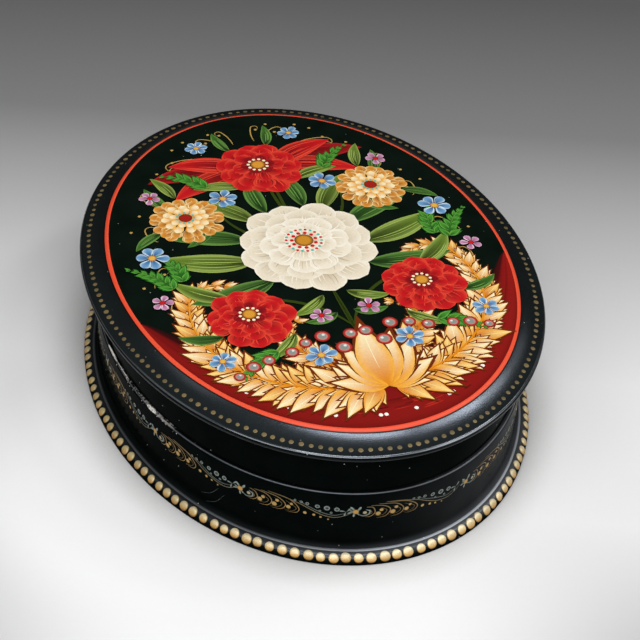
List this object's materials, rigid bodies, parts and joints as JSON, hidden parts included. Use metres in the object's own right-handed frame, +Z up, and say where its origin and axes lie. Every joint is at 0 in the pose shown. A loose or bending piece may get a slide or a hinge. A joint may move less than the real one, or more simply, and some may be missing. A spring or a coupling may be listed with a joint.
{
  "type": "oval lacquer box",
  "caption": "Oval lacquered papier-mache trinket box with a lift-off lid, raised picture field, rounded rim, set-back skirt, guiding inner sleeve and a foot edged with gilt beads.",
  "frame": {"origin": "on the table under the middle of the box, at the underside of the bottom board", "axes": "+Z up; +Y along the long way of the oval, towards the head of the picture; +X across it"},
  "size_m": [0.1108, 0.1414, 0.0373],
  "materials": {
    "black_lacquer": "polished black lacquer",
    "red_lacquer": "polished cinnabar red lacquer",
    "gilt": "gilded raised paste"
  },
  "bodies": {
    "base": {"bottom_board": "black_lacquer", "gilt_beads": "gilt", "base_wall": "black_lacquer", "inner_sleeve": "red_lacquer"},
    "lid": {"lid_skirt": "black_lacquer", "lid_board": "black_lacquer"}
  },
  "joints": [
    {"name": "lid_lift", "type": "slide", "parent": "base", "child": "lid", "axis": [0, 0, 1], "range_m": [0, 0.05]}
  ]
}
